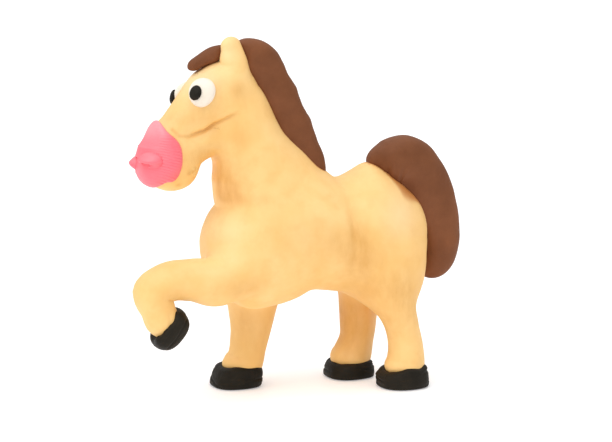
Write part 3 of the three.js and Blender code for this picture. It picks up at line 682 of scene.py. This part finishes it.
def pat(name, middle, outward, half, exponent, shape, rings, sides, slot):
    """A pat of clay: a flattened ball. With a from 0 at its outer pole to pi inside, its points are
    middle + outward * thick * cos(a) + (across * wide * cos(b) + upward * high * sin(b)) * sin(a) ** (2 /
    exponent). The three shares of the half sizes go through shape first."""
    wide, high, thick = half
    across = unit(np.cross(UPRIGHT, outward))
    upward = np.cross(outward, across)
    a = np.pi * np.arange(1, rings)[:, None] / rings
    b = turns(sides)[None]
    ring = np.sin(a) ** (2 / exponent)
    u, v = ring * np.cos(b), ring * np.sin(b)
    u, v, w = shape(u, v, np.cos(a) + 0 * b)
    grid = middle + (wide * u)[..., None] * across + (high * v)[..., None] * upward
    grid = grid + (thick * w)[..., None] * outward
    pole = [share[0, 0] for share in shape(np.zeros((1, 1)), np.zeros((1, 1)), np.ones((1, 1)))]
    start = middle + wide * pole[0] * across + high * pole[1] * upward + thick * pole[2] * outward
    mesh = closed_mesh(name, grid, start, middle - thick * outward)
    # The painted highlight at each point, stored for the material
    painted_shine = painted_highlight(grid, normals_of(grid)[..., 2])
    mark(mesh, "painted_highlight", np.append(painted_shine, [painted_shine[0, 0], 0]))
    add_piece(name, mesh, slot)


# Half sizes of a white and a pupil: across, up and out
EYE = (2.6, 2.95, 1.6)
PUPIL = (1.3, 1.5, 0.75)
# An eye's share of the upper roll's length, its turn, and the angle by which it looks forward
EYE_LEFT_AT = (0.455, 2.19, 0.42)
EYE_RIGHT_AT = (0.52, 2.06, 0.9)
# How far the pupil sits below the middle of the white, and into it
PUPIL_DROP = 0.5
PUPIL_SINK = 0.1


def eye(side, place, hand):
    """A white pat on the side of the head, and a black one on it that looks forward by an angle. The
    white is a little broader above and flatter at its edge, the pupil a little narrower above."""
    along, turn, forward_angle = place
    outward = cranium.outward(along, hand * turn)
    middle = cranium.point(along, hand * turn)
    white_half, black_half = np.array(EYE), np.array(PUPIL)

    def egg(u, v, w):
        return u * (1 + 0.06 * v), v + 0.04 * u * np.sign(-hand), w * (1 - 0.12 * (u**2 + v**2))

    def button(u, v, w):
        return u * (1 - 0.05 * v), v, w

    pat("eye_" + side, middle, outward, white_half, 2.3, egg, 48, 96, "clay_white")
    across = unit(np.cross(UPRIGHT, outward))
    forward = across if across[0] < 0 else -across
    looking = np.cos(forward_angle) * outward + np.sin(forward_angle) * forward
    seat = middle + white_half[2] * np.cos(forward_angle) * outward
    seat = seat + white_half[0] * np.sin(forward_angle) * forward
    seat = seat - PUPIL_DROP * unit(UPRIGHT - outward[2] * outward)
    seat = seat - PUPIL_SINK * looking
    pat("pupil_" + side, seat, looking, black_half, 2.2, button, 32, 64, "clay_black")


# Half sizes of the nostrils, their turn from the front of the muzzle, and their shares of its length
NOSTRIL_LEFT = (2.6, 1.65, 1.7)
NOSTRIL_RIGHT = (2.4, 1.9, 1.5)
NOSTRIL_TURN = 0.78
NOSTRIL_LEFT_ALONG = 0.6
NOSTRIL_RIGHT_ALONG = 0.8


def nostril(side, along, hand, half):
    """A pat pinched like a coffee bean: a crown, and a slit low across it that opens to a hollow at its
    front end. Each is exp(-(distance / half width)^2) high or deep."""
    turn = np.pi - hand * NOSTRIL_TURN
    outward = muzzle.outward(along, turn)
    middle = muzzle.point(along, turn)

    def bean(u, v, w):
        front = -u if hand < 0 else u
        slit = v + 0.36 + 0.16 * u**2
        groove = 1.1 * np.exp(-((slit / 0.23) ** 2)) * (0.6 + 0.4 * np.clip(front, -1, 1))
        hollow = np.exp(-(((front - 0.45) / 0.25) ** 2) - (slit / 0.3) ** 2)
        crown = 1 + 0.3 * np.exp(-(((v - 0.15) / 0.4) ** 2)) - 0.45 * smooth_step(-0.3, -0.8, v)
        return u, v, w * crown - (groove + hollow) * np.clip(w, 0, 1)

    pat("nostril_" + side, middle, outward, half, 2.2, bean, 60, 120, "clay_pink")


# A hoof's profile from the middle of its sole, round the wall and the rim, to a hollow inside the end of
# the leg: shares of the radius and of the height
STANDING_PROFILE = [
    (0, 0), (0.5, 0), (0.86, 0), (0.97, 0.06), (1.0, 0.22), (0.98, 0.5), (0.94, 0.76), (0.88, 0.93),
    (0.78, 1.0), (0.66, 1.0), (0.5, 0.92), (0, 0.7),
]
RAISED_PROFILE = [
    (0, 0), (0.35, 0.01), (0.6, 0.07), (0.8, 0.2), (0.93, 0.38), (0.99, 0.6), (0.97, 0.8), (0.9, 0.94),
    (0.8, 1.0), (0.66, 1.0), (0.5, 0.95), (0, 0.8),
]
HOOF_RINGS = 120
HOOF_SIDES = 220
HOOF_SQUARENESS = 2.5
HOOF_WAVE = 0.03  # height of the waves round a hoof with a waviness of 1
GROOVES = 6
GROOVE_WIDTH = 0.05  # share of a hoof's height


def hoof(name, sole, upward, forward, profile, half, lean, rim, waviness, fold, seed):
    """A black pat kneaded round the end of a leg, from a profile turned round the leg. In plan it is a
    circle whose cosine and sine are raised to 2 / HOOF_SQUARENESS, which squares it a little. Its rim
    stands at 1 + rim[0] cos(turn) - rim[1] cos(2 turn) of the height, its toe leans forward at the
    bottom, and its radius and rim waver. Grooves run round its wall: each is exp(-(height from a wavy
    line / width)^2) deep, faded out over part of the turn. The fold is one swelling of the wall: its turn,
    its height and its size."""
    rng = np.random.default_rng(seed)
    profile = np.array(profile, float)
    knots = np.append(0, np.cumsum(np.linalg.norm(np.diff(profile, axis=0), axis=1)))
    s = np.linspace(0, knots[-1], HOOF_RINGS + 1)[1:-1]
    radius, height = smooth_line(knots, profile, s)[0].T
    radius, height = np.maximum(radius, 0.004)[:, None], np.maximum(height, 0)[:, None]
    turn = turns(HOOF_SIDES)[None]
    orders = np.arange(2, 8)[:, None, None]
    phases, rim_phases = rng.uniform(0, 2 * np.pi, (2, len(orders), 1, 1))
    waves = (np.sin(orders * turn + phases) / orders).sum(axis=0)
    reach = 1 + HOOF_WAVE * waviness * waves * smooth_step(0.3, 0.9, radius)
    level = rim[0] * np.cos(turn) - rim[1] * np.cos(2 * turn)
    waves = (np.sin(orders * turn + rim_phases) / np.sqrt(orders)).sum(axis=0)
    level = level + HOOF_WAVE * waviness * waves
    tall = 1 + level * smooth_step(0.4, 0.9, height)
    wall = smooth_step(0.8, 0.97, radius)
    for _ in range(GROOVES):
        angle, start, tilt = rng.uniform(0, 2 * np.pi), rng.uniform(0.15, 0.85), rng.uniform(-0.3, 0.3)
        apart = np.angle(np.exp(1j * (turn - angle)))
        line = start + tilt * apart + 0.05 * np.sin(3 * apart)
        groove = np.exp(-(((height - line) / GROOVE_WIDTH) ** 2) - (apart / rng.uniform(0.4, 0.9)) ** 2)
        reach = reach - wall * rng.uniform(0.03, 0.065) * groove
    angle, start, size = fold
    apart = np.angle(np.exp(1j * (turn - angle)))
    swelling = size * np.exp(-(((height - start) / 0.2) ** 2) - (apart / 0.45) ** 2)
    reach = reach + swelling * smooth_step(0.5, 0.9, radius)
    wide, high = half
    power = 2 / HOOF_SQUARENESS
    across = np.sign(np.cos(turn)) * np.abs(np.cos(turn)) ** power
    sideways = np.sign(np.sin(turn)) * np.abs(np.sin(turn)) ** power
    back = lean * height * smooth_step(0.0, 0.8, radius)
    out = wide * radius * reach
    grid = (
        sole
        + (out * across - back)[..., None] * forward
        + (out * sideways)[..., None] * np.cross(forward, upward)
        + (high * height * tall)[..., None] * upward
    )
    inside = sole + high * profile[-1][1] * upward
    mesh = closed_mesh(name, grid, sole, inside)
    add_piece(name, mesh, "clay_black")


def standing_hoof(name, roll, ahead, *shape):
    """A hoof on the floor, its sole this far ahead of the end of the leg."""
    x, y, _ = roll.middles[-1]
    hoof(name, np.array([x - ahead, y, 0.0]), UPRIGHT, np.array([-1.0, 0, 0]), STANDING_PROFILE, *shape)


RAISED_HOOF_HALF = (4.4, 4.5)
RAISED_SOLE_BELOW = 1.3  # how far its sole lies beyond the end of the leg


def raised_hoof(name, roll, *shape):
    """The hoof of the raised leg, square to the end of its roll."""
    middle, ahead, _, up, _ = (part[0] for part in roll.frame(np.array([roll.length])))
    hoof(name, middle + RAISED_SOLE_BELOW * ahead, -ahead, up, RAISED_PROFILE, RAISED_HOOF_HALF, *shape)


def srgb(red, green, blue):
    """A colour from 0 to 255 a channel, as linear light."""
    share = np.array([red, green, blue]) / 255
    return (*np.where(share <= 0.04045, share / 12.92, ((share + 0.055) / 1.055) ** 2.4), 1.0)


class Finish:
    """A procedural clay: helpers that add its nodes."""

    def __init__(self, name):
        self.material = bpy.data.materials.new(name)
        self.material.use_nodes = True
        self.nodes, self.links = self.material.node_tree.nodes, self.material.node_tree.links
        self.shader = self.nodes["Principled BSDF"]
        self.place = self.nodes.new("ShaderNodeTexCoord").outputs["Object"]

    def noise(self, size, detail=4.0, rough=0.55, stretch=None):
        """Noise with features of a size in metres, from 0 to 1."""
        node = self.nodes.new("ShaderNodeTexNoise")
        node.inputs["Scale"].default_value = 1 / size
        node.inputs["Detail"].default_value = detail
        node.inputs["Roughness"].default_value = rough
        source = self.place
        if stretch:
            mapping = self.nodes.new("ShaderNodeMapping")
            mapping.inputs["Scale"].default_value = stretch
            self.links.new(self.place, mapping.inputs["Vector"])
            source = mapping.outputs["Vector"]
        self.links.new(source, node.inputs["Vector"])
        return node.outputs["Fac"]

    def window(self, value, low, high, top=1.0):
        """Maps a value from low to high onto 0 to top."""
        node = self.nodes.new("ShaderNodeMapRange")
        node.inputs["From Min"].default_value = low
        node.inputs["From Max"].default_value = high
        node.inputs["To Max"].default_value = top
        self.links.new(value, node.inputs["Value"])
        return node.outputs["Result"]

    def times(self, first, second):
        """The product of two values, each a number or another node's output."""
        node = self.nodes.new("ShaderNodeMath")
        node.operation = "MULTIPLY"
        for socket, value in zip(node.inputs, (first, second)):
            if isinstance(value, float):
                socket.default_value = value
            else:
                self.links.new(value, socket)
        return node.outputs["Value"]

    def mix(self, share, first, second):
        """Mixes two colours, each a colour or another node's output."""
        node = self.nodes.new("ShaderNodeMix")
        node.data_type = "RGBA"
        self.links.new(share, node.inputs["Factor"])
        for socket, value in ((node.inputs["A"], first), (node.inputs["B"], second)):
            if isinstance(value, tuple):
                socket.default_value = value
            else:
                self.links.new(value, socket)
        return node.outputs["Result"]

    def bump(self, height, depth, below=None):
        """Bump of a depth in metres from a height of 0 to 1."""
        node = self.nodes.new("ShaderNodeBump")
        node.inputs["Distance"].default_value = depth
        self.links.new(height, node.inputs["Height"])
        if below:
            self.links.new(below, node.inputs["Normal"])
        return node.outputs["Normal"]

    def attribute(self, name):
        """A value that the mesh stores at its vertices."""
        node = self.nodes.new("ShaderNodeAttribute")
        node.attribute_name = name
        return node.outputs["Fac"]

    def finish(self, colour, roughness, normal, gloss=0.35):
        """Joins colour, roughness and normal to the shader, and sets its gloss."""
        self.links.new(colour, self.shader.inputs["Base Color"])
        self.links.new(roughness, self.shader.inputs["Roughness"])
        if normal:
            self.links.new(normal, self.shader.inputs["Normal"])
        self.shader.inputs["Specular IOR Level"].default_value = gloss
        return self.material


def yellow_clay():
    """Yellow clay: broad drifts of tone, ochre finger stains mixed with painted shade, a pale painted
    highlight, painted orange-brown shade round the brown rolls, specks, fine grain and scratches."""
    clay = Finish("clay_yellow")
    colour = clay.mix(clay.window(clay.noise(0.011), 0.35, 0.7), srgb(243, 191, 107), srgb(251, 208, 134))
    colour = clay.mix(clay.window(clay.noise(0.0035, 5), 0.5, 0.75, 0.5), colour, srgb(237, 182, 98))
    # Ochre: finger stains, with painted shade under the jaw and on the far legs
    broken = clay.window(clay.noise(0.0024, 6, 0.65, (1, 1, 0.4)), 0.0, 0.7)
    stain_and_shade_share = clay.times(clay.attribute("stain_and_shade"), broken)
    colour = clay.mix(clay.times(stain_and_shade_share, 0.9), colour, srgb(212, 150, 56))
    # Painted highlight: a pale colour where the light falls brightest
    colour = clay.mix(clay.attribute("painted_highlight"), colour, srgb(255, 232, 190))
    # Painted shade, orange-brown, round the brown rolls and under the tail
    colour = clay.mix(clay.times(clay.attribute("painted_contact_shade"), 0.85), colour, srgb(190, 108, 18))
    specks = clay.window(clay.noise(0.0006, 2), 0.74, 0.8, 0.25)
    colour = clay.mix(specks, colour, srgb(214, 164, 92))
    roughness = clay.window(clay.noise(0.002, 4), 0.3, 0.7, 0.12)
    rough = clay.nodes.new("ShaderNodeMath")
    rough.inputs[1].default_value = 0.52
    clay.links.new(roughness, rough.inputs[0])
    grain = clay.bump(clay.noise(0.0009, 6, 0.6), 0.00006)
    scratches = clay.bump(clay.noise(0.0007, 3, 0.5, (1, 1, 0.2)), 0.00004, grain)
    return clay.finish(colour, rough.outputs["Value"], scratches, gloss=0.85)


def kneaded_clay(name, light, dark, grain_depth, roughness, gloss, pale):
    """Clay of one colour: its tone drifts between two shades, with fine grain and dull and waxy patches.
    Where it has a pale shade, its painted highlight takes it over to that shade."""
    clay = Finish(name)
    colour = clay.mix(clay.window(clay.noise(0.006, 5, 0.6), 0.35, 0.68), srgb(*dark), srgb(*light))
    # Painted highlight: a pale shade where the light falls brightest
    if pale:
        colour = clay.mix(clay.attribute("painted_highlight"), colour, srgb(*pale))
    rough = clay.nodes.new("ShaderNodeMapRange")
    clay.links.new(clay.noise(0.0022, 4), rough.inputs["Value"])
    rough.inputs["To Min"].default_value = roughness - 0.08
    rough.inputs["To Max"].default_value = roughness + 0.08
    grain = clay.bump(clay.noise(0.0008, 6, 0.6), grain_depth)
    dimples = clay.bump(clay.noise(0.0028, 3, 0.5), grain_depth * 1.6, grain)
    return clay.finish(colour, rough.outputs["Result"], dimples, gloss)


def stick_wood():
    """Bare birch: pale, with grain lines stretched along the stick."""
    wood = Finish("stick_wood")
    colour = wood.mix(wood.noise(0.0006, 4, 0.6, (1, 1, 0.12)), srgb(201, 168, 122), srgb(224, 195, 150))
    rough = wood.window(wood.noise(0.001), 0, 1, 0.8)
    return wood.finish(colour, rough, wood.bump(wood.noise(0.0004, 3, 0.5, (1, 1, 0.1)), 0.00003))


# The kneaded clays: light and dark shade, depth of the grain, roughness, gloss, and the painted
# highlight's shade
KNEADED = {
    "clay_brown": ((126, 76, 46), (112, 66, 38), 0.00006, 0.6, 0.2, None),
    "clay_pink": ((252, 113, 127), (246, 99, 115), 0.00004, 0.5, 1.0, (255, 190, 196)),
    "clay_black": ((37, 32, 23), (23, 20, 13), 0.00012, 0.55, 0.16, None),
    "clay_white": ((246, 237, 223), (238, 227, 210), 0.00003, 0.45, 0.4, None),
}
# The material of each slot
MATERIALS = {"clay_yellow": yellow_clay()}
for name, shades in KNEADED.items():
    MATERIALS[name] = kneaded_clay(name, *shades)
MATERIALS["stick_wood"] = stick_wood()

yellow_roll("torso", 170, 240)
yellow_roll("neck", 200, 240)
yellow_roll("cranium", 120, 200)
yellow_roll("jaw", 110, 190)
yellow_roll("ear_left", 60, 90)
yellow_roll("ear_right", 60, 90)
yellow_roll("foreleg_left", 170, 120, core=0.6)
yellow_roll("foreleg_right", 130, 120)
yellow_roll("hind_leg_left", 140, 130)
yellow_roll("hind_leg_right", 130, 120)

plain_roll("mane", mane, 220, 110, 2.5, mane_relief, "clay_brown", sink=1.6)
plain_roll("tail", tail, 220, 130, 2.6, tail_relief, "clay_brown")
plain_roll("forelock", forelock, 70, 60, 2.2, forelock_relief, "clay_brown")
plain_roll("muzzle_cap", muzzle, 170, 330, 2.0, muzzle_relief, "clay_pink")
nostril("left", NOSTRIL_LEFT_ALONG, -1, NOSTRIL_LEFT)
nostril("right", NOSTRIL_RIGHT_ALONG, 1, NOSTRIL_RIGHT)
eye("left", EYE_LEFT_AT, -1)
eye("right", EYE_RIGHT_AT, 1)

# The standing hooves: the leg, how far the sole lies ahead of its end, half sizes, lean of the toe, rim,
# waviness, fold, and the seed of the grooves
HOOVES = {
    "hoof_fore_right": (foreleg_right, 0.45, (5.15, 4.2), 0.85, (0.02, 0.06), 0.6, (2.8, 0.3, 0.0), 21),
    "hoof_hind_left": (hind_leg_left, 0.15, (5.15, 4.0), 0.1, (-0.13, 0.01), 1.1, (0.4, 0.6, 0.06), 22),
    "hoof_hind_right": (hind_leg_right, 0.15, (5.1, 3.35), 0.2, (-0.05, 0.03), 1.1, (3.3, 0.6, 0.02), 23),
}
for name, shape in HOOVES.items():
    standing_hoof(name, *shape)
raised_hoof("hoof_fore_left", foreleg_left, 0.0, (0.03, 0.0), 1.2, (1.0, 0.5, 0.0), 24)

for name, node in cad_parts.items():
    if name.endswith("_stick"):
        node.data.materials.clear()
        node.data.materials.append(MATERIALS["stick_wood"])


FLOOR_GLOW = 0.3  # lifts the table to the photograph's white


def add_floor(size=8.0):
    """A plain pale table, just under the soles."""
    half, level = size / 2, -0.00002
    mesh = bpy.data.meshes.new("floor")
    corners = [(-half, -half, level), (half, -half, level), (half, half, level), (-half, half, level)]
    mesh.from_pydata(corners, [], [(0, 1, 2, 3)])
    paper = Finish("pale_table")
    colour = paper.mix(paper.noise(0.4), srgb(236, 235, 236), srgb(241, 240, 241))
    paper.shader.inputs["Emission Color"].default_value = (1.0, 0.985, 0.99, 1.0)
    paper.shader.inputs["Emission Strength"].default_value = FLOOR_GLOW
    mesh.materials.append(paper.finish(colour, paper.window(paper.noise(0.3), 0, 1, 0.9), None, 0.2))
    floor = bpy.data.objects.new("floor", mesh)
    bpy.context.scene.collection.objects.link(floor)


# The photographer's place: degrees from the horse's side and above the table, and millimetres
CAMERA_TURN = -20.0
CAMERA_RISE = 9.0
CAMERA_DISTANCE = 450.0
CAMERA_TARGET = np.array([3.1, 0.0, 33.8])
PIXEL = 0.2  # millimetres at the target
PHOTO_WIDTH = 612


def add_camera():
    """The camera at its turn and rise round the target, with its lens set so that a pixel there has its
    size."""
    turn, rise = np.radians([CAMERA_TURN, CAMERA_RISE])
    back = np.array([np.sin(turn) * np.cos(rise), -np.cos(turn) * np.cos(rise), np.sin(rise)])
    right = np.array([np.cos(turn), np.sin(turn), 0.0])
    place = (CAMERA_TARGET + CAMERA_DISTANCE * back + CENTRE) * MM
    lens = bpy.data.cameras.new("camera")
    lens.sensor_width = 36.0
    lens.lens = lens.sensor_width * CAMERA_DISTANCE / (PIXEL * PHOTO_WIDTH)
    lens.clip_start, lens.clip_end = 0.01, 20.0
    camera = bpy.data.objects.new("camera", lens)
    axes = np.stack([right, np.cross(back, right), back], axis=1)
    camera.matrix_world = Matrix.Translation(place.tolist()) @ Matrix(axes.tolist()).to_4x4()
    bpy.context.scene.collection.objects.link(camera)
    bpy.context.scene.camera = camera


SKY = (0.25, 1.42)  # strength at the horizon and below it, and overhead
LIGHT_TOWARD = (-0.6, -0.4, 0.9)  # from the horse to the light
LIGHT_SPREAD = 60  # degrees


def add_light():
    """A white room that is brightest overhead, and a broad soft light above and to the left of the
    camera."""
    world = bpy.data.worlds.new("white_room")
    world.use_nodes = True
    nodes, links = world.node_tree.nodes, world.node_tree.links
    direction = nodes.new("ShaderNodeTexCoord").outputs["Generated"]
    height = nodes.new("ShaderNodeSeparateXYZ")
    links.new(direction, height.inputs["Vector"])
    strength = nodes.new("ShaderNodeMapRange")
    strength.inputs["To Min"].default_value, strength.inputs["To Max"].default_value = SKY
    links.new(height.outputs["Z"], strength.inputs["Value"])
    background = nodes["Background"]
    background.inputs["Color"].default_value = (1.0, 1.0, 1.0, 1.0)
    links.new(strength.outputs["Result"], background.inputs["Strength"])
    bpy.context.scene.world = world
    light = bpy.data.lights.new("window", "SUN")
    light.energy = 1.0
    light.angle = np.radians(LIGHT_SPREAD)
    light.color = (1.0, 0.985, 0.96)
    lamp = bpy.data.objects.new("window", light)
    toward = unit(np.array(LIGHT_TOWARD))
    sideways = unit(np.cross(UPRIGHT, toward))
    axes = np.stack([sideways, np.cross(toward, sideways), toward], axis=1)
    lamp.matrix_world = Matrix(axes.tolist()).to_4x4()
    bpy.context.scene.collection.objects.link(lamp)


add_floor()
add_camera()
add_light()
bpy.context.scene.view_settings.view_transform = "Standard"
